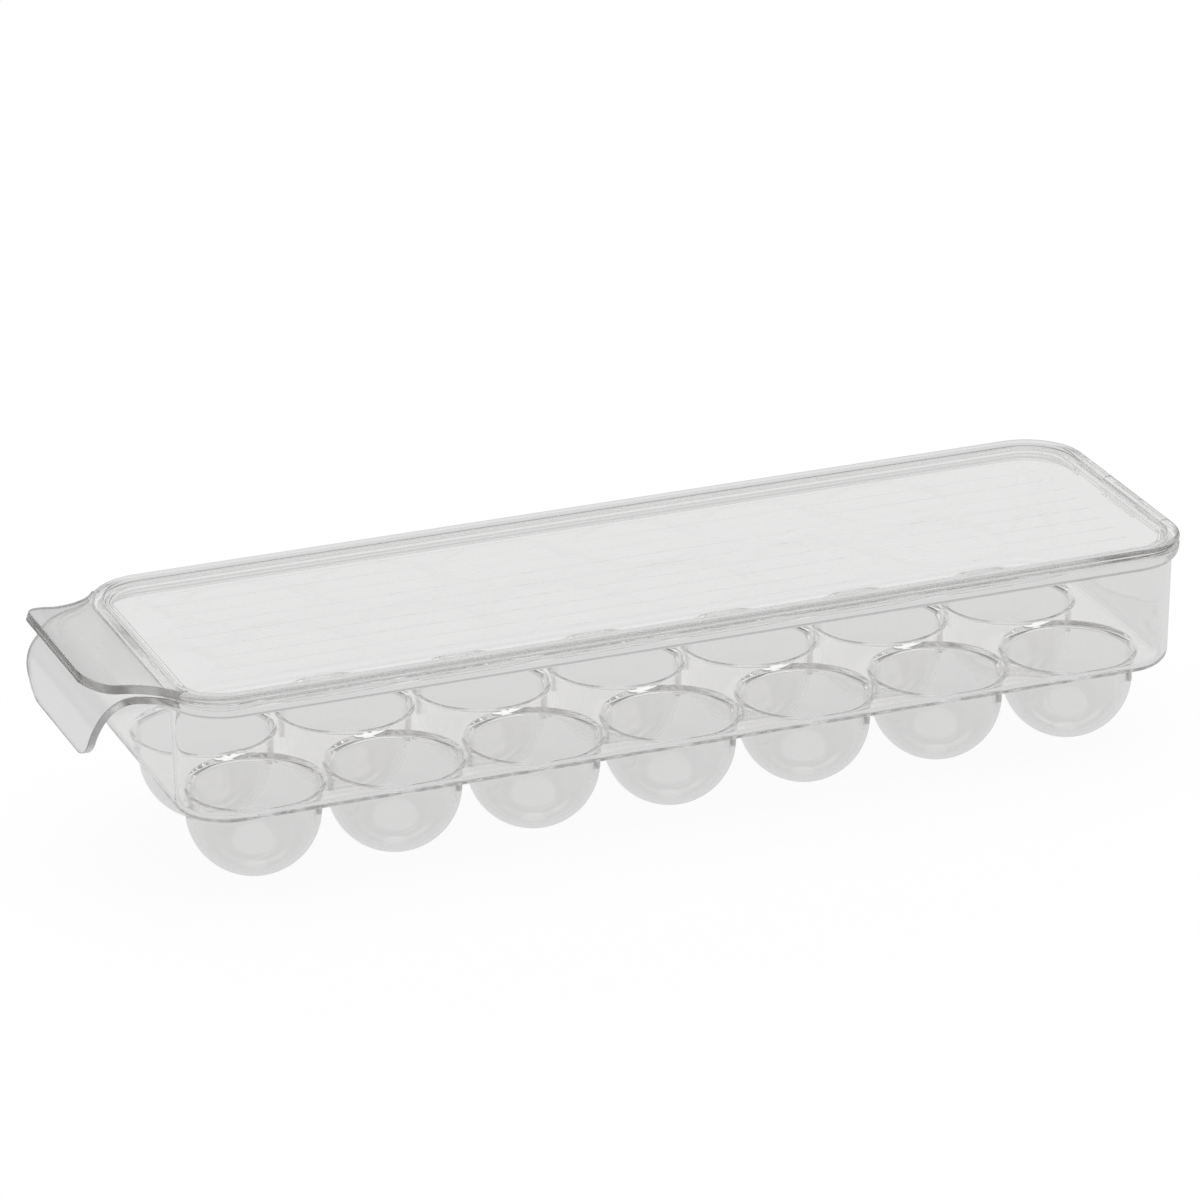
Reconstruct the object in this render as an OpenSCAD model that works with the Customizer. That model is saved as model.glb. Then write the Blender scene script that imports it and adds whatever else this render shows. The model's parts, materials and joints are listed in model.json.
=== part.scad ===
// Egg keeper with a flip lid: a clear moulded tray with two rows of egg cups,
// a scooped pull handle at one end, and a flat ribbed lid that hinges at the other.

/* [Rim outline] */
// Length of the tray over its rim
rim_l = 345; // [337:0.5:360]
// Width of the tray over its rim
rim_w = 108; // [106:0.5:120]
// Radius of the rim's corners, seen from above
rim_corner_r = 20; // [16:0.5:24]
// Height of the rim's top face, which the lid closes on
rim_top = 70; // [60:0.5:80]
// Depth of the rim
rim_h = 4.6; // [4.2:0.1:5]
// Radius of the rim's upper outer edge
rim_edge_r = 1; // [0.6:0.1:1.2]
// Radius of the long curve that draws the rim's outer face in towards the wall
rim_lean_r = 5.5; // [5:0.5:8]
// Width of the rim, from its outer edge to the inside of the wall
rim_band = 4.2; // [4:0.1:4.4]

/* [Tray wall and deck] */
// Thickness of the side walls
wall_t = 1.8; // [1.4:0.1:2]
// How far the wall's foot lies inside the rim's outer edge
foot_inset = 3.1; // [2.8:0.1:3.2]
// Height of the deck's top face, which the cups hang from
deck_top = 30.4; // [28:0.2:34]
// Thickness of the deck
deck_t = 2; // [1.5:0.1:2.5]
// Outer radius where the wall turns into the deck
foot_r = 4; // [3:0.1:4.2]

/* [Egg cups] */
// Cups in each of the two rows
cups_per_row = 7; // [7:1:7]
// Distance between cup centres, along and across
cup_pitch = 46.75; // [46:0.05:47.5]
// Outer radius of a cup's round bowl
cup_r = 21.45; // [20:0.05:21.6]
// Wall thickness of a cup
cup_t = 1.5; // [1.2:0.1:1.8]
// Radius of a cup's mouth, where it joins the deck
cup_mouth_r = 22.6; // [22.4:0.1:22.9]
// Radius of the small flat that a cup stands on
cup_foot_r = 4; // [3:0.5:6]
// Height of the neck that widens a bowl to its mouth
cup_neck_h = 1.4; // [1:0.1:2.4]
// Radius of the rolled edge inside a cup's mouth
cup_roll_r = 2.1; // [1.5:0.1:2.2]

/* [Pull handle and lid tab] */
// Half the width of the handle and of the lid's tab
grip_half_w = 34.5; // [30:0.5:38]
// Radius of the fillet that runs from a rim corner into the grip's side
grip_flare_r = 20; // [12:1:24]
// Thickness of the handle
handle_t = 2.5; // [2.2:0.1:3]
// Level stretch of the handle before it bends down
handle_flat = 8; // [6:0.5:12]
// Outer radius of the handle's bend
handle_r = 15.2; // [12:0.1:17]
// Angle that the handle bends through
handle_a = 88; // [75:1:90]
// Straight lip below the bend
handle_lip = 7.2; // [5:0.1:10]
// Radius of the lip's two large round corners
lip_corner_r = 16; // [10:0.5:17]
// Thickness of the lid's tab
tab_t = 3; // [2.6:0.1:3.2]
// How far the tab reaches past the rim
tab_reach = 24.5; // [20:0.5:25]
// Level stretch of the tab before it sweeps up
tab_flat = 12; // [10:0.5:13]
// Radius of the tab's upward sweep
tab_sweep_r = 20.5; // [18:0.5:30]
// Radius of the tab's outer corners, seen from above
tab_corner_r = 10; // [6:0.5:10]

/* [Lid] */
// Play between the lid and the rim below it
lid_gap = 0.3; // [0.25:0.05:0.5]
// Thickness of the lid's rolled edge
lid_edge_t = 2.7; // [2.4:0.1:3]
// How far the panel lies below the top of the edge
panel_drop = 1; // [0.6:0.1:1.2]
// Height of the locating skirt below the panel
skirt_h = 2.1; // [1.5:0.1:3]
// Thickness of the locating skirt
skirt_t = 1.6; // [1.2:0.1:2]
// Play between the skirt and the inside of the rim
skirt_play = 0.8; // [0.7:0.1:1.2]
// Number of stiffening ribs under the panel
rib_count = 9; // [5:2:9]
// Distance between ribs
rib_pitch = 9.25; // [8:0.05:10]
// Length of a rib
rib_l = 308; // [280:1:312]
// Width of a rib
rib_w = 1.2; // [0.8:0.1:1.6]
// Height of a rib
rib_h = 0.2; // [0.1:0.05:0.5]

/* [Hinge] */
// Radius of the hinge bars
bar_r = 1.2; // [1:0.05:1.3]
// Running clearance between a bar and its clip
bar_play = 0.05; // [0.03:0.01:0.08]
// Wall of a clip round its bore
clip_wall = 1; // [0.9:0.05:1.1]
// Mouth of a clip, which snaps over its bar
clip_mouth = 2; // [1.8:0.1:2.1]
// Width of the neck that carries a clip under the lid's edge
clip_neck_w = 2.9; // [2.6:0.05:3]
// Free space between a clip's end and its lugs
clip_end_gap = 0.5; // [0.4:0.1:1]
// Distance of each bar's middle from the tray's centre line
hinge_y = 21; // [19:0.5:21]
// Length of a bar between its two lugs
bar_l = 18; // [14:1:18]
// Thickness of a lug
lug_t = 2.5; // [2:0.1:2.5]
// Radius of a lug's rounded top
lug_r = 2; // [1.8:0.1:2]
// Reach of a lug's stop heel past the bar's axis
heel_reach = 2.9; // [2.8:0.05:2.95]
// Depth of the heel's upper face below the bar's axis
heel_drop = 0.95; // [0.9:0.05:1.1]
// Free space round a clip
clip_room = 0.35; // [0.3:0.05:0.5]

/* [Hidden] */
rows = ["near", "far"];

clear_plastic = [0.9, 0.92, 0.93, 0.45];
lid_plastic = [0.86, 0.88, 0.9, 0.45];

// heights
rim_bottom = rim_top - rim_h;
deck_bottom = deck_top - deck_t;
lid_bottom = rim_top + lid_gap;
lid_top = lid_bottom + lid_edge_t;
panel_top = lid_top - panel_drop;
cup_centre_z = sqrt(cup_r * cup_r - cup_foot_r * cup_foot_r);

// distances inside the rim's outer edge
lid_bead_r = lid_edge_t / 2;
join_inset = 2;
rim_foot_r = 0.6;
wall_top_inset = rim_band - wall_t;
deck_inset = foot_inset + foot_r;
skirt_inset = rim_band + skirt_play;

// hinge axis, measured from the tray's centre
clip_r = bar_r + bar_play + clip_wall;
hinge_x = rim_l / 2 - wall_top_inset + clip_room + clip_r;
hinge_z = rim_top - lug_r;

// the frame's origin lies under the middle of the whole length, tab and hinge included
handle_reach = handle_flat + handle_r * sin(handle_a) + handle_lip * cos(handle_a);
hinge_reach = hinge_x + heel_reach - rim_l / 2;
tray_x = (max(handle_reach, tab_reach) - hinge_reach) / 2;

// cutting shapes: reach past what they cut, and a height or depth past everything
over = 1;
tall = 200;

// steps in a full circle: long rounds, middling ones and small ones
big_round = 96;
mid_round = 64;
small_round = 48;

// points on an arc about c, from angle a0 to a1
function arc(c, r, a0, a1, n = 8) =
    [for (i = [0:n]) let (a = a0 + (a1 - a0) * i / n) c + r * [cos(a), sin(a)]];

// rounded rectangle at a given distance inside the rim's outer edge
module outline(inset) {
    l = rim_l - 2 * inset;
    w = rim_w - 2 * inset;
    r = rim_corner_r - inset;
    square([l - 2 * r, w], center = true);
    square([l, w - 2 * r], center = true);
    for (sx = [-1, 1], sy = [-1, 1])
        translate([sx * (l / 2 - r), sy * (w / 2 - r)]) circle(r, $fn = mid_round);
}

// carries a profile round the rim: x is the distance outward from the rim's edge, y the height
module round_the_rim() {
    run_x = rim_l - 2 * rim_corner_r;
    run_y = rim_w - 2 * rim_corner_r;
    for (side = [0, 1]) {
        mirror([0, side, 0])
            translate([-run_x / 2, rim_w / 2, 0]) rotate([90, 0, 90]) linear_extrude(run_x) children();
        mirror([side, 0, 0])
            translate([rim_l / 2, run_y / 2, 0]) rotate([90, 0, 0]) linear_extrude(run_y) children();
    }
    for (i = [0:3]) {
        sx = i == 0 || i == 3 ? 1 : -1;
        sy = i < 2 ? 1 : -1;
        translate([sx * run_x / 2, sy * run_y / 2, 0]) rotate([0, 0, 90 * i])
            rotate_extrude(angle = 90, $fn = big_round) translate([rim_corner_r, 0]) children();
    }
}

// stands a profile drawn in x and z across the tray, between y0 and y1
module across(y0, y1) {
    translate([0, y1, 0]) rotate([90, 0, 0]) linear_extrude(y1 - y0) children();
}

// plan of the handle and the tab: full width at the tip, flaring into the rim's corners
module grip_plan(reach) {
    corner_x = rim_l / 2 - rim_corner_r;
    flare_y = grip_half_w + grip_flare_r;
    corner_y = rim_w / 2 - rim_corner_r;
    flare_x = -corner_x - sqrt(pow(rim_corner_r + grip_flare_r, 2) - pow(flare_y - corner_y, 2));
    share = rim_corner_r / (rim_corner_r + grip_flare_r);
    touch_y = corner_y + (flare_y - corner_y) * share;
    difference() {
        union() {
            translate([-rim_l / 2 - reach, -grip_half_w]) square([reach + rim_corner_r, 2 * grip_half_w]);
            difference() {
                translate([flare_x, -touch_y]) square([-flare_x - corner_x, 2 * touch_y]);
                for (sy = [-1, 1])
                    translate([flare_x, sy * flare_y]) circle(grip_flare_r, $fn = big_round);
            }
        }
        outline(join_inset);
    }
}

// the wall leans out as it rises, and turns into the deck at its foot
module tray_wall() {
    color(clear_plastic) translate([tray_x, 0, 0]) round_the_rim() polygon(concat(
        arc([-deck_inset, deck_bottom + foot_r], foot_r, -90, 0),
        [[-wall_top_inset, rim_bottom], [-rim_band, rim_bottom]],
        arc([-deck_inset, deck_top + foot_r - wall_t], foot_r - wall_t, 0, -90, 4)
    ));
}

// section of the solid rim: its outer face draws in below, by a long curve and a small round foot
module rim_section() {
    foot_z = rim_bottom + rim_foot_r;
    lean_z = rim_top - rim_edge_r;
    lean_a = -asin((lean_z - foot_z) / (rim_lean_r - rim_foot_r));
    foot_x = (rim_lean_r - rim_foot_r) * cos(lean_a) - rim_lean_r;
    polygon(concat(
        [[-rim_band, rim_bottom]],
        arc([foot_x, foot_z], rim_foot_r, -90, lean_a, 3),
        arc([-rim_lean_r, lean_z], rim_lean_r, lean_a, 0, 7),
        arc([-rim_edge_r, lean_z], rim_edge_r, 0, 90, 6),
        [[-rim_band, rim_top]]
    ));
}

// the rim, with the hinge lugs and the notches that the clips swing in
module tray_rim() {
    color(clear_plastic) translate([tray_x, 0, 0]) difference() {
        union() {
            round_the_rim() rim_section();
            for (sy = [-1, 1], end = [-1, 1])
                translate([0, sy * hinge_y + end * (bar_l + lug_t) / 2, 0]) hinge_lug();
        }
        for (sy = [-1, 1])
            translate([rim_l / 2 - wall_top_inset, sy * hinge_y - bar_l / 2, rim_bottom - over])
                cube([wall_top_inset + over, bar_l, rim_h + 2 * over]);
        translate([0, 0, rim_bottom - over]) linear_extrude(rim_h + 2 * over) grip_plan(handle_reach);
    }
}

// one lug: a round end on the bar's axis, and a square heel that stops the open lid
module hinge_lug() {
    root_x = rim_l / 2 - join_inset;
    across(-lug_t / 2, lug_t / 2) {
        translate([hinge_x, hinge_z]) circle(lug_r, $fn = small_round);
        translate([root_x, hinge_z - lug_r]) square([hinge_x - root_x, 2 * lug_r]);
        translate([root_x, hinge_z - lug_r]) square([hinge_x + heel_reach - root_x, lug_r - heel_drop]);
    }
}

module hinge_bar(sy) {
    color(clear_plastic) translate([tray_x + hinge_x, sy * hinge_y + bar_l / 2, hinge_z])
        rotate([90, 0, 0]) cylinder(r = bar_r, h = bar_l, $fn = small_round);
}

// deck with a round mouth for every cup
module tray_deck() {
    color(clear_plastic) translate([tray_x, 0, deck_bottom]) linear_extrude(deck_t) difference() {
        outline(deck_inset);
        for (sy = [-1, 1], i = [1:cups_per_row])
            translate([cup_x(i), sy * cup_pitch / 2]) circle(cup_mouth_r, $fn = big_round);
    }
}

function cup_x(i) = (i - (cups_per_row + 1) / 2) * cup_pitch;

// a round bowl with a flat foot, a short neck that widens, and a rolled mouth
module egg_cup(row, i) {
    foot_a = -acos(cup_foot_r / cup_r);
    roll_c = [cup_mouth_r, deck_top - cup_roll_r];
    color(clear_plastic) translate([tray_x + cup_x(i), (row == "near" ? -1 : 1) * cup_pitch / 2, 0])
        rotate_extrude($fn = big_round) polygon(concat(
            [[0, 0]],
            arc([0, cup_centre_z], cup_r, foot_a, 0, 14),
            [[cup_r, deck_bottom - cup_neck_h], [cup_mouth_r, deck_bottom]],
            arc(roll_c, cup_roll_r, 90, 180, 5),
            arc([0, cup_centre_z], cup_r - cup_t, 0, -90, 14)
        ));
}

// a level sheet that bends down into a lip with rounded corners, fused to the rim along its root
module pull_handle() {
    start = -rim_l / 2 - handle_flat;
    bend_c = [start, rim_top - handle_r];
    down = [-cos(handle_a), -sin(handle_a)];
    outer_end = bend_c + handle_r * [-sin(handle_a), cos(handle_a)];
    inner_end = bend_c + (handle_r - handle_t) * [-sin(handle_a), cos(handle_a)];
    root_x = -rim_l / 2 + rim_corner_r;
    color(clear_plastic) translate([tray_x, 0, 0]) {
        intersection() {
            across(-rim_w, rim_w) polygon(concat(
                [[root_x, rim_top]],
                arc(bend_c, handle_r, 90, 90 + handle_a, 12),
                [outer_end + handle_lip * down, inner_end + handle_lip * down],
                arc(bend_c, handle_r - handle_t, 90 + handle_a, 90, 12),
                [[root_x, rim_top - handle_t]]
            ));
            linear_extrude(tall) grip_plan(handle_reach + over);
            lip_front();
        }
        intersection() {
            round_the_rim() rim_section();
            translate([0, 0, rim_bottom - over]) linear_extrude(rim_h - handle_t + over) grip_plan(0);
        }
    }
}

// front outline that rounds the lip's two lower corners
module lip_front() {
    lip_z = rim_top - handle_r + (handle_r - handle_t) * cos(handle_a) - handle_lip * sin(handle_a);
    translate([-rim_l / 2 - tall, 0, 0]) rotate([90, 0, 90]) linear_extrude(tall + rim_corner_r) {
        translate([-rim_w, lip_z + lip_corner_r]) square([2 * rim_w, tall]);
        translate([lip_corner_r - grip_half_w, lip_z]) square([2 * (grip_half_w - lip_corner_r), tall]);
        for (sy = [-1, 1])
            translate([sy * (grip_half_w - lip_corner_r), lip_z + lip_corner_r])
                circle(lip_corner_r, $fn = mid_round);
    }
}

// rolled edge of the lid, open where the tab and the hinge clips join it
module lid_edge() {
    color(lid_plastic) translate([tray_x, 0, 0]) difference() {
        round_the_rim() polygon(concat(
            [[-rim_band, lid_bottom]],
            arc([-lid_bead_r, lid_bottom + lid_bead_r], lid_bead_r, -90, 90, 12),
            [[-rim_band, lid_top]]
        ));
        translate([0, 0, lid_bottom - over]) linear_extrude(lid_edge_t + 2 * over) grip_plan(tab_reach);
    }
}

module lid_panel() {
    color(lid_plastic) translate([tray_x, 0, lid_bottom])
        linear_extrude(panel_top - lid_bottom) outline(rim_band);
}

// low ribs under the panel, with sloping sides
module lid_ribs() {
    outer = (rib_count - 1) / 2 * rib_pitch;
    color(lid_plastic) translate([tray_x - rib_l / 2, 0, lid_bottom])
        for (y = [-outer:rib_pitch:outer + over])
            translate([0, y, 0]) rotate([90, 0, 90]) linear_extrude(rib_l) polygon([
                [-rib_w / 2, 0],
                [-rib_w / 4, -rib_h],
                [rib_w / 4, -rib_h],
                [rib_w / 2, 0]
            ]);
}

// low wall under the panel that drops inside the rim and keeps the lid square on the tray
module lid_skirt() {
    inner = skirt_inset + skirt_t;
    low = lid_bottom - skirt_h;
    color(lid_plastic) translate([tray_x, 0, 0]) round_the_rim() polygon(concat(
        [[-skirt_inset, lid_bottom], [-inner, lid_bottom]],
        arc([-inner + skirt_t / 2, low + skirt_t / 2], skirt_t / 2, 180, 360, 8)
    ));
}

// thumb tab: level at the rim, then swept up, with rounded corners
module lid_tab() {
    root_x = -rim_l / 2 + rim_corner_r;
    sweep_c = [-rim_l / 2 - tab_flat, lid_bottom + tab_sweep_r];
    sweep_a = asin((tab_reach - tab_flat) / tab_sweep_r);
    tip_x = -rim_l / 2 - tab_reach;
    color(lid_plastic) translate([tray_x, 0, 0]) intersection() {
        across(-rim_w, rim_w) polygon(concat(
            [[root_x, lid_bottom]],
            arc(sweep_c, tab_sweep_r, -90, -90 - sweep_a, 10),
            arc(sweep_c, tab_sweep_r - tab_t, -90 - sweep_a, -90, 10),
            [[root_x, lid_bottom + tab_t]]
        ));
        translate([0, 0, rim_top]) linear_extrude(tall) difference() {
            grip_plan(tab_reach + over);
            for (sy = [-1, 1]) mirror([0, sy < 0 ? 1 : 0]) difference() {
                translate([tip_x - 2 * over, grip_half_w - tab_corner_r])
                    square([tab_corner_r + 2 * over, tab_corner_r + over]);
                translate([tip_x + tab_corner_r, grip_half_w - tab_corner_r])
                    circle(tab_corner_r, $fn = mid_round);
            }
        }
    }
}

// C-shaped clip under the lid's edge: bore, snap mouth below, and a neck up to the edge
module hinge_clip(sy) {
    neck_x = hinge_x - clip_r;
    neck_top = lid_bottom + lid_bead_r / 2;
    half = bar_l / 2 - clip_end_gap;
    bead_x = rim_l / 2 - lid_bead_r;
    y0 = sy * hinge_y - half;
    color(lid_plastic) translate([tray_x, 0, 0]) across(y0, y0 + 2 * half) difference() {
        union() {
            translate([hinge_x, hinge_z]) circle(clip_r, $fn = mid_round);
            translate([neck_x, hinge_z]) square([clip_neck_w, neck_top - hinge_z]);
        }
        translate([hinge_x, hinge_z]) circle(bar_r + bar_play, $fn = small_round);
        translate([hinge_x - clip_mouth / 2, hinge_z - clip_r - over]) square([clip_mouth, clip_r + over]);
        translate([neck_x - over, lid_bottom]) square([bead_x - neck_x + over, lid_edge_t]);
        translate([bead_x, lid_bottom + lid_bead_r]) circle(lid_bead_r, $fn = mid_round);
    }
}

tray_wall();
tray_rim();
tray_deck();
pull_handle();
hinge_bar(-1);  // hinge_bar_near
hinge_bar(1);  // hinge_bar_far
for (row = rows, i = [1:cups_per_row])
    egg_cup(row, i);
lid_edge();
lid_panel();
lid_ribs();
lid_skirt();
lid_tab();
hinge_clip(-1);  // hinge_clip_near
hinge_clip(1);  // hinge_clip_far
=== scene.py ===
import json
import math

import bmesh
import bpy
from mathutils import Matrix, Vector


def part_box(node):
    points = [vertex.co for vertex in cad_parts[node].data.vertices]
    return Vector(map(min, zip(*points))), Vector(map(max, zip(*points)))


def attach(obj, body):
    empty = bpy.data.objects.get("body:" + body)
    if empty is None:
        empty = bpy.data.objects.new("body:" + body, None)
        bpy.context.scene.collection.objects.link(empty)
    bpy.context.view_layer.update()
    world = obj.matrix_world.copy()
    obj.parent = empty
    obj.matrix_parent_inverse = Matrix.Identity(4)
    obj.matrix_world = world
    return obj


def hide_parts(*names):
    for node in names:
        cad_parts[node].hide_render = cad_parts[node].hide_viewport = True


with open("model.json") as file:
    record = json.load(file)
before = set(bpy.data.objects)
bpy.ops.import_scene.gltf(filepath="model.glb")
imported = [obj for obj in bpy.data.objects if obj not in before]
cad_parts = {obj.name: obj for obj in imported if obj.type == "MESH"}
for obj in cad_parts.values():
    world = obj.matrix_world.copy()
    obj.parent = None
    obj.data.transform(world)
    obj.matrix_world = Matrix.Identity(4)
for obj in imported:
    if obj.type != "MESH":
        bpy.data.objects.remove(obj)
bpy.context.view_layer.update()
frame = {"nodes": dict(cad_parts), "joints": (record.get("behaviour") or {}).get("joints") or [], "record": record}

# Tray, wall and rim.
# The tray is one injection moulding in clear, hard plastic, polished but for a few dull cut edges.
# Its side is a thin wall that leans out a little, turns into the deck at its foot with a round
# edge, and ends above in a thick rolled rim: one closed band, swept round the outline.
MM = 0.001
PLASTIC_TINT = (0.985, 0.983, 0.981, 1.0)
PLASTIC_IOR = 1.49
PLASTIC_DEPTH_TINT = (0.06, 0.02, 0.0, 1.0)
PLASTIC_DENSITY = 1.5
WAVE_SIZE = 42.0
WAVE_DEPTH = 0.00004
WAVE_STRENGTH = 0.02
WAVE_DETAIL = 1.0
WEAR_SIZE = 220.0
WEAR_DETAIL = 4.0
WEAR_SPREAD = 0.4
POLISHED, DULL = 0.008, 0.3


def clear_plastic(name, roughness):
    """Clear plastic with slow waves in its surface and a little wear in its gloss."""
    mat = bpy.data.materials.new(name)
    mat.use_nodes = True
    tree = mat.node_tree
    shader = tree.nodes["Principled BSDF"]
    shader.inputs["Base Color"].default_value = PLASTIC_TINT
    shader.inputs["IOR"].default_value = PLASTIC_IOR
    shader.inputs["Transmission Weight"].default_value = 1.0
    place = tree.nodes.new("ShaderNodeTexCoord")
    waves = tree.nodes.new("ShaderNodeTexNoise")
    waves.inputs["Scale"].default_value = WAVE_SIZE
    waves.inputs["Detail"].default_value = WAVE_DETAIL
    tree.links.new(place.outputs["Object"], waves.inputs["Vector"])
    bump = tree.nodes.new("ShaderNodeBump")
    bump.inputs["Strength"].default_value = WAVE_STRENGTH
    bump.inputs["Distance"].default_value = WAVE_DEPTH
    tree.links.new(waves.outputs["Fac"], bump.inputs["Height"])
    tree.links.new(bump.outputs["Normal"], shader.inputs["Normal"])
    wear = tree.nodes.new("ShaderNodeTexNoise")
    wear.inputs["Scale"].default_value = WEAR_SIZE
    wear.inputs["Detail"].default_value = WEAR_DETAIL
    tree.links.new(place.outputs["Object"], wear.inputs["Vector"])
    gloss = tree.nodes.new("ShaderNodeMapRange")
    gloss.inputs["To Min"].default_value = roughness * (1 - WEAR_SPREAD)
    gloss.inputs["To Max"].default_value = roughness * (1 + WEAR_SPREAD)
    tree.links.new(wear.outputs["Fac"], gloss.inputs["Value"])
    tree.links.new(gloss.outputs["Result"], shader.inputs["Roughness"])
    depth = tree.nodes.new("ShaderNodeVolumeAbsorption")
    depth.inputs["Color"].default_value = PLASTIC_DEPTH_TINT
    depth.inputs["Density"].default_value = PLASTIC_DENSITY
    tree.links.new(depth.outputs["Volume"], tree.nodes["Material Output"].inputs["Volume"])
    return mat


PLASTICS = clear_plastic("clear_plastic", POLISHED), clear_plastic("dull_cut_edge", DULL)
CLEAR, CUT_EDGE = 0, 1

wall_lo, wall_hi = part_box("tray_wall")
_, rim_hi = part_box("tray_rim")
deck_lo, deck_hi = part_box("tray_deck")
edge_lo, edge_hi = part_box("lid_edge")
centre_x = (wall_lo.x + wall_hi.x) / 2
half_l = edge_hi.x - centre_x
half_w = rim_hi.y
rim_corner = 20 * MM
rim_band = 4.2 * MM
rim_edge_r = 1.0 * MM
rim_lean_r = 5.5 * MM
rim_foot_r = 0.6 * MM
foot_inset = 3.1 * MM
foot_r = 4 * MM
small_r = 0.5 * MM
SMALL_STEPS = 4
wall_t = rim_band - (half_l - (wall_hi.x - centre_x))
wall_top_inset = rim_band - wall_t
deck_inset = foot_inset + foot_r
deck_top, deck_bottom = deck_hi.z, deck_lo.z
rim_top, rim_bottom = rim_hi.z, wall_hi.z
lean_z = rim_top - rim_edge_r
lean_rise = lean_z - rim_bottom - rim_foot_r
lean_angle = -math.degrees(math.asin(lean_rise / (rim_lean_r - rim_foot_r)))
foot_out = (rim_lean_r - rim_foot_r) * math.cos(math.radians(lean_angle)) - rim_lean_r
CORNER_STEPS = 28


def bend(out, z, r, start, stop, steps=8):
    """Points of a profile's round stretch about a middle at out and z, between two angles."""
    angles = [math.radians(start + (stop - start) * k / steps) for k in range(steps + 1)]
    return [(out + r * math.cos(a), z + r * math.sin(a)) for a in angles]


def outline(out, z):
    """One loop of the rim's rounded outline at height z, moved outward by out."""
    r = rim_corner + out
    loop = []
    for quarter, (sx, sy) in enumerate(((1, 1), (-1, 1), (-1, -1), (1, -1))):
        middle = Vector((centre_x + sx * (half_l - rim_corner), sy * (half_w - rim_corner), z))
        for k in range(CORNER_STEPS + 1):
            a = math.radians(90 * (quarter + k / CORNER_STEPS))
            loop.append(middle + r * Vector((math.cos(a), math.sin(a), 0)))
    return loop


def skin(bm, loops):
    """Faces between neighbouring loops of points; returns the first and last loop's vertices."""
    rows = [[bm.verts.new(p) for p in loop] for loop in loops]
    for low, high in zip(rows, rows[1:]):
        for i, v in enumerate(low):
            j = (i + 1) % len(low)
            bm.faces.new((v, low[j], high[j], high[i]))
    return rows[0], rows[-1]


def loop_edges(bm, row):
    """The edges round one loop of vertices."""
    return [bm.edges.get((v, row[(i + 1) % len(row)])) for i, v in enumerate(row)]


tray_bm = bmesh.new()
wall_profile = (
    bend(-deck_inset, deck_bottom + foot_r, foot_r, -90, 0)
    + bend(-wall_top_inset + small_r, rim_bottom - small_r, small_r, 180, 90, SMALL_STEPS)
    + bend(foot_out, rim_bottom + rim_foot_r, rim_foot_r, -90, lean_angle, steps=6)
    + bend(-rim_lean_r, lean_z, rim_lean_r, lean_angle, 0, steps=12)[1:]
    + bend(-rim_edge_r, lean_z, rim_edge_r, 0, 90, steps=10)[1:]
    + bend(-rim_band + small_r, rim_top - small_r, small_r, 90, 180, SMALL_STEPS)
    + bend(-deck_inset, deck_top + foot_r - wall_t, foot_r - wall_t, 0, -90)
)
deck_under, deck_over = skin(tray_bm, [outline(out, z) for out, z in wall_profile])

# Egg cups.
# Each cup hangs from the deck: a round bowl with a small flat foot to stand on, and a mouth that
# rolls over smoothly into the deck. They are part of the tray's moulding.
cup_lo, cup_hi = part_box("egg_cup_near_1")
cup_mouth_r = (cup_hi.x - cup_lo.x) / 2
cup_r = 21.45 * MM
cup_t = 1.5 * MM
cup_foot_r = 4 * MM
cup_roll_r = 2.1 * MM
cup_flare_r = 1.6 * MM
cup_centre_z = math.sqrt(cup_r ** 2 - cup_foot_r ** 2)
CUP_STEPS = 112


def cup_ring(x, y, r, z):
    """A ring of points round a cup's axis."""
    angles = [math.tau * k / CUP_STEPS for k in range(CUP_STEPS)]
    return [Vector((x + r * math.cos(a), y + r * math.sin(a), z)) for a in angles]


def bowl(bm, x, y, profile):
    """A revolved skin that starts on the deck and closes at a point on the cup's axis."""
    mouth, last = skin(bm, [cup_ring(x, y, r, z) for r, z in profile[:-1]])
    pole = bm.verts.new((x, y, profile[-1][1]))
    for i, v in enumerate(last):
        bm.faces.new((v, last[(i + 1) % len(last)], pole))
    return mouth


foot_angle = -math.degrees(math.acos(cup_foot_r / cup_r))
outer_profile = (
    bend(cup_r + cup_flare_r, deck_bottom - cup_flare_r, cup_flare_r, 90, 180)
    + bend(0, cup_centre_z, cup_r, 0, foot_angle, steps=18)
    + [(0, 0)]
)
inner_profile = (
    bend(cup_mouth_r, deck_top - cup_roll_r, cup_roll_r, 90, 180, steps=10)
    + bend(0, cup_centre_z, cup_r - cup_t, 0, -90, steps=16)
)
mouths_under, mouths_over = [], []
for name in sorted(n for n in frame["nodes"] if n.startswith("egg_cup_")):
    lo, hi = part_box(name)
    x, y = (lo.x + hi.x) / 2, (lo.y + hi.y) / 2
    mouths_under.append(bowl(tray_bm, x, y, outer_profile))
    mouths_over.append(bowl(tray_bm, x, y, inner_profile))

# Deck.
# The flat shelf between the cups, at the foot of the wall: an upper and a lower face that run
# from the wall's round foot to the cups' mouths.
for border, mouths in ((deck_under, mouths_under), (deck_over, mouths_over)):
    edges = loop_edges(tray_bm, border)
    for mouth in mouths:
        edges += loop_edges(tray_bm, mouth)
    bmesh.ops.triangle_fill(tray_bm, use_beauty=True, edges=edges)


def finish_mesh(name, bm, materials=()):
    """Turns a bmesh into an object with its faces outward."""
    bmesh.ops.recalc_face_normals(bm, faces=bm.faces)
    mesh = bpy.data.meshes.new(name)
    bm.to_mesh(mesh)
    bm.free()
    for mat in materials:
        mesh.materials.append(mat)
    obj = bpy.data.objects.new(name, mesh)
    bpy.context.scene.collection.objects.link(obj)
    return obj


tray = finish_mesh("tray_moulding", tray_bm, PLASTICS)

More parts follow.
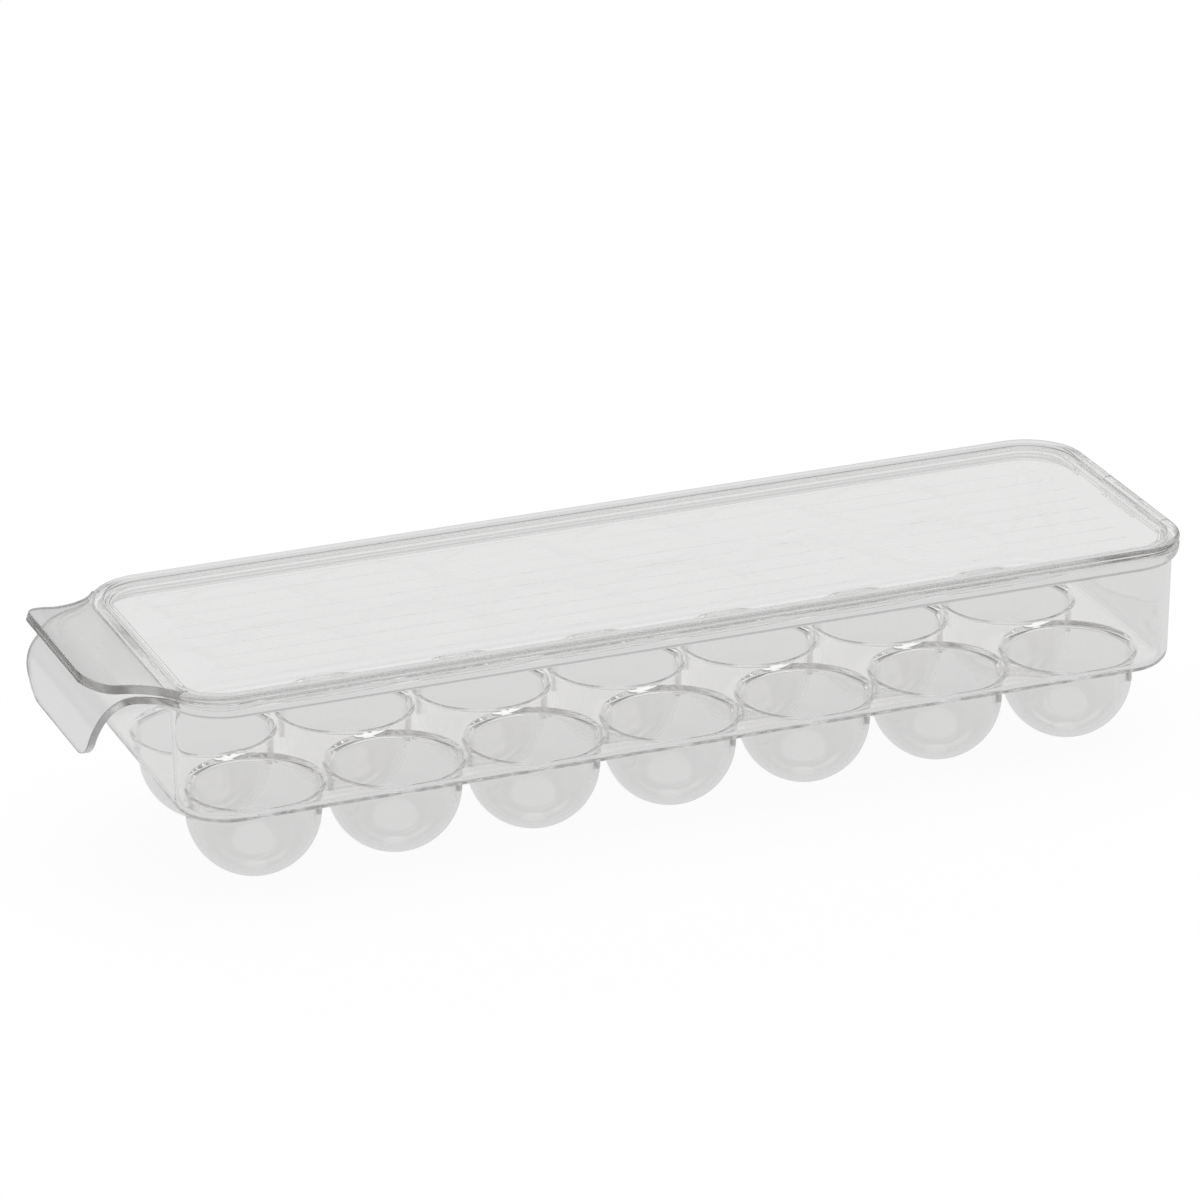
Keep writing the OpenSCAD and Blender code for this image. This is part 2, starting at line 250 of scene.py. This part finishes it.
# Pull handle.
# A broad scooped grip at one end of the tray's moulding: the rim runs out level, flares in from
# both corners to a narrower sheet, and bends down into a lip with two large round corners. Its
# edges are eased.
grip_half_w = 34.5 * MM
grip_flare_r = 20 * MM
grip_ease = 0.4 * MM
handle_t = 2.5 * MM
handle_flat = 8 * MM
handle_r = 15.2 * MM
handle_a = math.radians(88)
handle_lip = 7.2 * MM
lip_corner_r = 16 * MM
GRIP_EDGE_STEPS = 4
GRIP_ROWS = 90
TIP_EASES = 3
TIP_EASE_STEPS = 5
flare_y = grip_half_w + grip_flare_r
rim_circle_x = centre_x - half_l + rim_corner
flare_reach = math.sqrt((rim_corner + grip_flare_r) ** 2 - (flare_y - half_w + rim_corner) ** 2)
flare_x = rim_circle_x - flare_reach
flare_touch = rim_corner / (rim_corner + grip_flare_r)
touch_x = rim_circle_x - flare_reach * flare_touch
touch_y = half_w - rim_corner + (flare_y - half_w + rim_corner) * flare_touch


def round_off(r, left):
    """How far a round corner of radius r draws an edge in, a length left before its end."""
    return r - math.sqrt(max(r ** 2 - (r - left) ** 2, 0)) if left < r else 0.0


def grip_width(x):
    """Half the grip's width at x, before its corners are rounded."""
    if x > touch_x:
        return touch_y
    if x > flare_x:
        return flare_y - math.sqrt(grip_flare_r ** 2 - (x - flare_x) ** 2)
    return grip_half_w


def grip_point(start, s, flat, r, angle, turn):
    """Where a grip's middle line is after a length s, and which way its upper face looks."""
    if s < flat:
        return start + Vector((-s, 0, 0)), Vector((0, 0, 1))
    a = min((s - flat) / r, angle)
    up = Vector((-turn * math.sin(a), 0, math.cos(a)))
    middle = start + Vector((-flat - r * math.sin(a), 0, turn * r * (math.cos(a) - 1)))
    onward = Vector((-math.cos(a), 0, -turn * math.sin(a)))
    return middle + onward * max(s - flat - r * angle, 0), up


def grip_sheet(name, start, flat, r, angle, turn, lip, thick, corner_r):
    """A sheet with eased edges that runs level, then bends down (turn 1) or up (turn -1).

    Its round corners are measured down to the tip, or outward to it where the sheet bends up. Its
    upper and lower faces are polished, and its edges and end are dull.
    """
    total = flat + r * angle + lip
    to_go = [total * (1 - k / GRIP_ROWS) for k in range(GRIP_ROWS)]
    to_go = [left for left in to_go if left > grip_ease * TIP_EASES]
    to_go += [grip_ease * (TIP_EASES - k / 2) for k in range(TIP_EASES * 2 - 2)]
    to_go += [grip_ease * (1 - math.sin(math.radians(90 * k / TIP_EASE_STEPS)))
              for k in range(TIP_EASE_STEPS + 1)]
    tip, _ = grip_point(start, total, flat, r, angle, turn)
    bm = bmesh.new()
    loops = []
    for left in to_go:
        middle, up = grip_point(start, total - left, flat, r, angle, turn)
        ease = round_off(grip_ease, left)
        before_tip = middle.z - tip.z if turn > 0 else middle.x - tip.x
        width = grip_width(middle.x) - round_off(corner_r, before_tip) - ease
        half_t = thick / 2 - ease
        loop = []
        for side in (1, -1):
            for level, start_angle in ((1, 90), (-1, 0)):
                for k in range(GRIP_EDGE_STEPS + 1):
                    a = math.radians(start_angle - 90 * k / GRIP_EDGE_STEPS)
                    y = width - grip_ease + grip_ease * math.cos(a)
                    h = level * (half_t - grip_ease) + grip_ease * math.sin(a)
                    loop.append(middle + Vector((0, side * y, 0)) + up * (side * h))
        loops.append(loop)
    first, last = skin(bm, loops)
    side_points = 2 * GRIP_EDGE_STEPS + 2
    for i, face in enumerate(bm.faces):
        across = i % side_points == side_points - 1
        face.material_index = CLEAR if across else CUT_EDGE
    bm.faces.new(first)
    bm.faces.new(last).material_index = CUT_EDGE
    return finish_mesh(name, bm, PLASTICS)


up_z = Vector((0, 0, 1))
grip_root = 8 * MM
rim_end = centre_x - half_l
grip_root_x = rim_end + grip_root
handle = grip_sheet("handle_sheet", Vector((grip_root_x, 0, rim_top - handle_t / 2)),
                    grip_root_x - rim_end + handle_flat, handle_r - handle_t / 2,
                    handle_a, 1, handle_lip, handle_t, lip_corner_r)


def outline_prism(name, out, low, high):
    """A solid block with the rim's outline, for trimming what joins the rim."""
    bm = bmesh.new()
    bottom, top = skin(bm, [outline(out, low), outline(out, high)])
    bm.faces.new(bottom)
    bm.faces.new(top)
    return finish_mesh(name, bm)


def apply_modifiers(obj):
    """Keeps the mesh that an object's modifiers make, and drops the modifiers."""
    made = obj.evaluated_get(bpy.context.evaluated_depsgraph_get())
    mesh = bpy.data.meshes.new_from_object(made)
    obj.modifiers.clear()
    obj.data = mesh


def combine(obj, *steps):
    """Applies boolean steps, each an operation and the solid it uses, and drops those solids."""
    for operation, other in steps:
        mod = obj.modifiers.new(operation, "BOOLEAN")
        mod.operation = operation
        mod.solver = "EXACT"
        mod.object = other
    apply_modifiers(obj)
    for _, other in steps:
        bpy.data.objects.remove(other)


inside_rim = -2.2 * MM
trim_over = 20 * MM
combine(handle, ("DIFFERENCE", outline_prism("trim", inside_rim, rim_bottom - trim_over,
                                             rim_top + trim_over)))

# Hinge, tray side.
# At the far end the rim has two notches. In each a round bar runs between two lugs, all of them
# part of the moulding; each lug has a round top on the bar's axis, and a square heel that stops
# the lid.
axis = Vector(frame["joints"][0]["pos_m"])
bar_r = 1.2 * MM
bar_l = 18 * MM
hinge_y = 21 * MM
lug_t = 2.5 * MM
lug_r = 2 * MM
heel_reach = 2.9 * MM
heel_drop = 0.95 * MM
notch_reach = 9 * MM
notch_over = 1 * MM
BAR_SIDES = 32
lug_root_x = centre_x + half_l + inside_rim


def prism(name, points, y0, y1):
    """A solid with an outline in x and z that reaches across the tray from y0 to y1."""
    bm = bmesh.new()
    near, far = skin(bm, [[Vector((x, y, z)) for x, z in points] for y in (y0, y1)])
    bm.faces.new(near)
    bm.faces.new(far)
    return finish_mesh(name, bm)


def block(name, x0, x1, y0, y1, z0, z1):
    """A plain rectangular block."""
    return prism(name, [(x0, z0), (x1, z0), (x1, z1), (x0, z1)], y0, y1)


heel_angle = -math.degrees(math.asin(heel_drop / lug_r))
lug_points = (
    [(lug_root_x, axis.z - lug_r), (axis.x + heel_reach, axis.z - lug_r),
     (axis.x + heel_reach, axis.z - heel_drop)]
    + bend(axis.x, axis.z, lug_r, heel_angle, 90, steps=12)
    + [(lug_root_x, axis.z + lug_r)]
)
bar_points = bend(axis.x, axis.z, bar_r, 0, 360 * (BAR_SIDES - 1) / BAR_SIDES, BAR_SIDES - 1)
steps = [("UNION", handle)]
for side in (-1, 1):
    middle = side * hinge_y
    notch_x = centre_x + half_l - wall_top_inset
    steps.append(("DIFFERENCE", block("notch", notch_x, notch_x + notch_reach, middle - bar_l / 2,
                                      middle + bar_l / 2, rim_bottom - notch_over,
                                      rim_top + notch_over)))
    for end in (-1, 1):
        lug_y = middle + end * (bar_l + lug_t) / 2
        steps.append(("UNION", prism("lug", lug_points, lug_y - lug_t / 2, lug_y + lug_t / 2)))
    reach = (bar_l + lug_t) / 2
    steps.append(("UNION", prism("bar", bar_points, middle - reach, middle + reach)))
combine(tray, *steps)


CRISP_FROM = math.radians(32)


def polish(obj):
    """Smooth faces with crisp edges."""
    mesh = obj.data
    mesh.shade_smooth()
    mesh.set_sharp_from_angle(angle=CRISP_FROM)
    weigh = obj.modifiers.new("weigh", "WEIGHTED_NORMAL")
    weigh.keep_sharp = True
    apply_modifiers(obj)


polish(tray)
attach(tray, "tray")
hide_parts(*frame["record"]["behaviour"]["bodies"]["tray"])

# Lid, edge and panel.
# A flat clear panel inside a thicker rolled edge that stands a little above it. Under the panel a
# low skirt drops inside the tray's rim, so that the closed lid can't slide.
_, panel_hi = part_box("lid_panel")
skirt_lo, skirt_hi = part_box("lid_skirt")
lid_bottom, lid_top, panel_top = edge_lo.z, edge_hi.z, panel_hi.z
lid_bead = (lid_top - lid_bottom) / 2
skirt_t = 1.6 * MM
skirt_out = skirt_hi.x - centre_x - half_l
skirt_low = skirt_lo.z
step_r = 0.4 * MM
lid_profile = (
    bend(-rim_band - step_r, panel_top + step_r, step_r, -90, 0, SMALL_STEPS)
    + bend(-rim_band + step_r, lid_top - step_r, step_r, 180, 90, SMALL_STEPS)
    + bend(-lid_bead, lid_bottom + lid_bead, lid_bead, 90, -90, steps=20)
    + bend(skirt_out + step_r, lid_bottom - step_r, step_r, 90, 180, SMALL_STEPS)
    + bend(skirt_out - skirt_t / 2, skirt_low + skirt_t / 2, skirt_t / 2, 0, -180, steps=12)
    + bend(skirt_out - skirt_t - step_r, lid_bottom - step_r, step_r, 0, 90, SMALL_STEPS)
)
lid_bm = bmesh.new()
panel_over, panel_under = skin(lid_bm, [outline(out, z) for out, z in lid_profile])
lid_bm.faces.new(panel_over)
lid_bm.faces.new(panel_under)
lid = finish_mesh("lid_moulding", lid_bm, PLASTICS)

# Lid, ribs.
# Fine stiffening ribs run lengthwise under the panel, evenly spaced, and stop short of both ends.
# They are moulded with the panel, in the same clear plastic.
ribs_lo, ribs_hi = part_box("lid_ribs")
rib_w = 1.2 * MM
rib_h = 0.12 * MM
rib_count = 9
rib_pitch = 9.25 * MM
rib_root = 0.2 * MM
RIB_TAPER = 0.5


def ribs_tree():
    """Nodes that lay one rib's profile along a line and repeat it across the panel."""
    tree = bpy.data.node_groups.new("lid_ribs", "GeometryNodeTree")
    sockets = {}
    for label, kind in (("Count", "Int"), ("Pitch", "Float"), ("Length", "Float"),
                        ("Width", "Float"), ("Height", "Float"), ("Root", "Vector"),
                        ("Plastic", "Material")):
        item = tree.interface.new_socket(label, in_out="INPUT", socket_type=f"NodeSocket{kind}")
        sockets[label] = item.identifier
    tree.interface.new_socket("Ribs", in_out="OUTPUT", socket_type="NodeSocketGeometry")
    add, link = tree.nodes.new, tree.links.new
    given, result = add("NodeGroupInput"), add("NodeGroupOutput")
    half = add("ShaderNodeMath")
    half.operation = "MULTIPLY"
    half.inputs[1].default_value = 0.5
    link(given.outputs["Length"], half.inputs[0])
    end = add("ShaderNodeCombineXYZ")
    link(half.outputs[0], end.inputs["X"])
    start = add("ShaderNodeVectorMath")
    start.operation = "SCALE"
    start.inputs["Scale"].default_value = -1.0
    link(end.outputs[0], start.inputs[0])
    line = add("GeometryNodeCurvePrimitiveLine")
    link(start.outputs[0], line.inputs["Start"])
    link(end.outputs[0], line.inputs["End"])
    narrow = add("ShaderNodeMath")
    narrow.operation = "MULTIPLY"
    narrow.inputs[1].default_value = RIB_TAPER
    link(given.outputs["Width"], narrow.inputs[0])
    shape = add("GeometryNodeCurvePrimitiveQuadrilateral")
    shape.mode = "TRAPEZOID"
    link(given.outputs["Width"], shape.inputs["Bottom Width"])
    link(narrow.outputs[0], shape.inputs["Top Width"])
    link(given.outputs["Height"], shape.inputs["Height"])
    shape.inputs["Offset"].default_value = 0.0
    sweep = add("GeometryNodeCurveToMesh")
    sweep.inputs["Fill Caps"].default_value = True
    link(line.outputs["Curve"], sweep.inputs["Curve"])
    link(shape.outputs["Curve"], sweep.inputs["Profile Curve"])
    step = add("ShaderNodeCombineXYZ")
    link(given.outputs["Pitch"], step.inputs["Y"])
    places = add("GeometryNodeMeshLine")
    link(given.outputs["Count"], places.inputs["Count"])
    link(given.outputs["Root"], places.inputs["Start Location"])
    link(step.outputs[0], places.inputs["Offset"])
    spread = add("GeometryNodeInstanceOnPoints")
    link(places.outputs["Mesh"], spread.inputs["Points"])
    link(sweep.outputs["Mesh"], spread.inputs["Instance"])
    real = add("GeometryNodeRealizeInstances")
    link(spread.outputs["Instances"], real.inputs["Geometry"])
    coat = add("GeometryNodeSetMaterial")
    link(real.outputs["Geometry"], coat.inputs["Geometry"])
    link(given.outputs["Plastic"], coat.inputs["Material"])
    link(coat.outputs["Geometry"], result.inputs[0])
    return tree, sockets


ribs = bpy.data.objects.new("ribs", bpy.data.meshes.new("ribs"))
bpy.context.scene.collection.objects.link(ribs)
ribs_group, sockets = ribs_tree()
mod = ribs.modifiers.new("ribs", "NODES")
mod.node_group = ribs_group
mod[sockets["Count"]] = rib_count
mod[sockets["Pitch"]] = rib_pitch
mod[sockets["Length"]] = ribs_hi.x - ribs_lo.x
mod[sockets["Width"]] = rib_w
mod[sockets["Height"]] = rib_h + rib_root
mod[sockets["Root"]] = (centre_x, -rib_pitch * (rib_count - 1) / 2,
                        lid_bottom - (rib_h - rib_root) / 2)
mod[sockets["Plastic"]] = PLASTICS[CLEAR]
apply_modifiers(ribs)

# Lid, thumb tab.
# The edge runs out over the pull handle into a tab of the same width, which leaves the handle with
# a slight rise and then sweeps up, so that a thumb can get under it.
tab_t = 3 * MM
tab_reach = 24.5 * MM
tab_flat = 12 * MM
tab_sweep_r = 35 * MM
tab_rise = math.tan(math.radians(4))
tab_corner_r = 10 * MM
tab = grip_sheet("tab_sheet", Vector((grip_root_x, 0, lid_bottom + tab_t / 2)),
                 grip_root_x - rim_end + tab_flat, tab_sweep_r - tab_t / 2,
                 math.asin((tab_reach - tab_flat) / tab_sweep_r), -1, 0, tab_t, tab_corner_r)
for v in tab.data.vertices:
    v.co.z += tab_rise * max(rim_end - v.co.x, 0)
combine(tab, ("DIFFERENCE", outline_prism("trim", inside_rim, lid_bottom - trim_over,
                                          lid_top + trim_over)))

# Lid, hinge clips.
# Two C-shaped clips under the lid's edge snap over the tray's bars from above. Each has a bore a
# hair wider than the bar, a mouth below, and a short neck up to the lid's edge.
clip_lo, clip_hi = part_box("hinge_clip_near")
bar_play = 0.05 * MM
bore_r = bar_r + bar_play
clip_r = axis.x - clip_lo.x
clip_mouth = 2 * MM
clip_neck = 2.9 * MM
neck_right = clip_lo.x + clip_neck
neck_top = lid_bottom + lid_bead / 2
mouth_out = math.degrees(math.asin(clip_mouth / 2 / clip_r))
mouth_in = math.degrees(math.asin(clip_mouth / 2 / bore_r))
neck_angle = math.degrees(math.acos((neck_right - axis.x) / clip_r))
clip_points = (
    bend(axis.x, axis.z, clip_r, mouth_out - 90, neck_angle, steps=16)
    + [(neck_right, neck_top), (clip_lo.x, neck_top)]
    + bend(axis.x, axis.z, clip_r, 180, 270 - mouth_out, steps=10)
    + bend(axis.x, axis.z, bore_r, 270 - mouth_in, mouth_in - 90, steps=24)
)
half_clip = (clip_hi.y - clip_lo.y) / 2
steps = [("UNION", tab), ("UNION", ribs)]
for side in (-1, 1):
    middle = side * hinge_y
    steps.append(("UNION", prism("clip", clip_points, middle - half_clip, middle + half_clip)))
combine(lid, *steps)
polish(lid)
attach(lid, "lid")
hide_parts(*frame["record"]["behaviour"]["bodies"]["lid"])

# Floor.
# A plain sheet of white paper, which takes a faint shadow from the object; the rest of its white
# is a glow. What clear plastic shows of it is a painted, greyer glow than what the camera sees:
# a painted pool of light round the object that fades to painted shade far out, standing in for
# overhead light that reaches it less there. FLOOR_SHADE of its white takes shadow, under a light
# of FLOOR_LIGHT.
FLOOR_SIZE = 60.0
FLOOR_SHADE = 0.12
FLOOR_THROUGH = 0.72
FLOOR_FAR = 0.46
FLOOR_BRIGHT_TO = 0.3
FLOOR_DARK_FROM = 0.9
FLOOR_LIGHT = 0.51
FLOOR_STRETCH = 1.45
PAPER_WHITE = 0.8
floor_bm = bmesh.new()
half_floor = FLOOR_SIZE / 2
corners = [(-1, -1), (1, -1), (1, 1), (-1, 1)]
floor_bm.faces.new([floor_bm.verts.new((x * half_floor, y * half_floor, 0)) for x, y in corners])
floor = finish_mesh("floor", floor_bm)
paper = bpy.data.materials.new("white_paper")
paper.use_nodes = True
tree = paper.node_tree
tree.nodes.clear()
out = tree.nodes.new("ShaderNodeOutputMaterial")
path = tree.nodes.new("ShaderNodeLightPath")
seen = path.outputs["Is Camera Ray"]
for ray in ("Is Glossy Ray", "Is Transmission Ray"):
    either = tree.nodes.new("ShaderNodeMath")
    either.operation = "MAXIMUM"
    tree.links.new(seen, either.inputs[0])
    tree.links.new(path.outputs[ray], either.inputs[1])
    seen = either.outputs[0]
matt = tree.nodes.new("ShaderNodeBsdfDiffuse")
matt.inputs["Color"].default_value = (PAPER_WHITE, PAPER_WHITE, PAPER_WHITE, 1)
shaded = tree.nodes.new("ShaderNodeBsdfDiffuse")
shaded.inputs["Color"].default_value = (FLOOR_SHADE, FLOOR_SHADE, FLOOR_SHADE, 1)
glow = tree.nodes.new("ShaderNodeEmission")
spot = tree.nodes.new("ShaderNodeTexCoord")
distance = tree.nodes.new("ShaderNodeVectorMath")
distance.operation = "LENGTH"
shape = tree.nodes.new("ShaderNodeMapping")
shape.inputs["Location"].default_value = (-centre_x / FLOOR_STRETCH, 0, 0)
shape.inputs["Scale"].default_value = (1 / FLOOR_STRETCH, 1, 1)
tree.links.new(spot.outputs["Object"], shape.inputs["Vector"])
tree.links.new(shape.outputs["Vector"], distance.inputs[0])
# Painted pool of light: the floor's glow, as clear plastic shows it, fades to painted shade far out.
painted_pool_fall = tree.nodes.new("ShaderNodeMapRange")
painted_pool_fall.interpolation_type = "SMOOTHSTEP"
painted_pool_fall.inputs["From Min"].default_value = FLOOR_BRIGHT_TO
painted_pool_fall.inputs["From Max"].default_value = FLOOR_DARK_FROM
painted_pool_fall.inputs["To Min"].default_value = FLOOR_THROUGH - FLOOR_SHADE * FLOOR_LIGHT
painted_pool_fall.inputs["To Max"].default_value = FLOOR_FAR - FLOOR_SHADE * FLOOR_LIGHT
tree.links.new(distance.outputs["Value"], painted_pool_fall.inputs["Value"])
# The camera sees an even white glow; glossy and transmission rays see the painted pool instead.
level = tree.nodes.new("ShaderNodeMix")
tree.links.new(path.outputs["Is Camera Ray"], level.inputs["Factor"])
tree.links.new(painted_pool_fall.outputs["Result"], level.inputs["A"])
level.inputs["B"].default_value = 1 - FLOOR_SHADE * FLOOR_LIGHT
tree.links.new(level.outputs["Result"], glow.inputs["Strength"])
both = tree.nodes.new("ShaderNodeAddShader")
tree.links.new(shaded.outputs[0], both.inputs[0])
tree.links.new(glow.outputs[0], both.inputs[1])
mix = tree.nodes.new("ShaderNodeMixShader")
tree.links.new(seen, mix.inputs[0])
tree.links.new(matt.outputs[0], mix.inputs[1])
tree.links.new(both.outputs[0], mix.inputs[2])
tree.links.new(mix.outputs[0], out.inputs["Surface"])
floor.data.materials.append(paper)

# Studio light.
# A wide soft light overhead, a strip of light behind, and a dark room around and between them: the
# clear plastic shows its edges by what they bend out of the dark.
SKY = ((8, 0.5), (13, 0.38), (31, 0.38), (37, 0.15), (52, 0.15), (58, 0.95))
STRIP = ((20.2, 0), (20.9, 0.72), (30, 0.72), (36, 0))
STRIP_TURN = math.radians(21.6)
STRIP_HALF, STRIP_END = math.radians(30), math.radians(50)


def by_height(tree, height, stops):
    """A ramp over a direction's height, from stops of degrees above the horizon and strength."""
    ramp = tree.nodes.new("ShaderNodeValToRGB")
    ramp.color_ramp.interpolation = "EASE"
    elements = ramp.color_ramp.elements
    while len(elements) < len(stops):
        elements.new(0.5)
    for element, (degrees, strength) in zip(elements, stops):
        element.position = math.sin(math.radians(degrees))
        element.color = (strength, strength, strength, 1)
    tree.links.new(height, ramp.inputs["Fac"])
    return ramp.outputs["Color"]


world = bpy.data.worlds.new("studio")
bpy.context.scene.world = world
world.use_nodes = True
tree = world.node_tree
direction = tree.nodes.new("ShaderNodeTexCoord")
turned = tree.nodes.new("ShaderNodeVectorRotate")
turned.rotation_type = "Z_AXIS"
turned.inputs["Angle"].default_value = STRIP_TURN
tree.links.new(direction.outputs["Generated"], turned.inputs["Vector"])
split = tree.nodes.new("ShaderNodeSeparateXYZ")
tree.links.new(turned.outputs["Vector"], split.inputs[0])
aside = tree.nodes.new("ShaderNodeMath")
aside.operation = "ARCTAN2"
tree.links.new(split.outputs["X"], aside.inputs[0])
tree.links.new(split.outputs["Y"], aside.inputs[1])
either_side = tree.nodes.new("ShaderNodeMath")
either_side.operation = "ABSOLUTE"
tree.links.new(aside.outputs[0], either_side.inputs[0])
behind = tree.nodes.new("ShaderNodeMapRange")
behind.interpolation_type = "SMOOTHSTEP"
behind.inputs["From Min"].default_value = STRIP_HALF
behind.inputs["From Max"].default_value = STRIP_END
behind.inputs["To Min"].default_value = 1.0
behind.inputs["To Max"].default_value = 0.0
tree.links.new(either_side.outputs[0], behind.inputs["Value"])
strip = tree.nodes.new("ShaderNodeMath")
strip.operation = "MULTIPLY_ADD"
tree.links.new(behind.outputs["Result"], strip.inputs[0])
tree.links.new(by_height(tree, split.outputs["Z"], STRIP), strip.inputs[1])
tree.links.new(by_height(tree, split.outputs["Z"], SKY), strip.inputs[2])
back = tree.nodes["Background"]
back.inputs["Color"].default_value = (1, 1, 1, 1)
tree.links.new(strip.outputs[0], back.inputs["Strength"])

# Camera.
# A long lens from the handle's end, a little above, as the object is seen in its picture. Light
# may bend often on its way through the cups, so many bounces are allowed.
LENS_IN_WIDTHS = 5.464
CAMERA_AZIMUTH = math.radians(-21.58)
CAMERA_ELEVATION = math.radians(22.33)
CAMERA_ROLL = math.radians(-0.48)
CAMERA_PLACE = Vector((centre_x - 0.72681, -1.80185, 0.85799))
CAMERA_FAR = 100.0
LIGHT_BOUNCES = 128
camera_data = bpy.data.cameras.new("camera")
camera_data.sensor_width = 36.0
camera_data.lens = LENS_IN_WIDTHS * camera_data.sensor_width
camera_data.clip_end = CAMERA_FAR
camera = bpy.data.objects.new("camera", camera_data)
bpy.context.scene.collection.objects.link(camera)
level_out = math.cos(CAMERA_ELEVATION)
back_dir = Vector((math.sin(CAMERA_AZIMUTH) * level_out, -math.cos(CAMERA_AZIMUTH) * level_out,
                   math.sin(CAMERA_ELEVATION)))
right = (-back_dir).cross(up_z).normalized()
upward = right.cross(-back_dir)
right, upward = (right * math.cos(CAMERA_ROLL) + upward * math.sin(CAMERA_ROLL),
                 upward * math.cos(CAMERA_ROLL) - right * math.sin(CAMERA_ROLL))
place = Matrix((right, upward, back_dir)).transposed().to_4x4()
place.translation = CAMERA_PLACE
camera.matrix_world = place
scene = bpy.context.scene
scene.camera = camera
scene.view_settings.view_transform = "Standard"
scene.cycles.max_bounces = LIGHT_BOUNCES
scene.cycles.transmission_bounces = LIGHT_BOUNCES
scene.cycles.glossy_bounces = LIGHT_BOUNCES
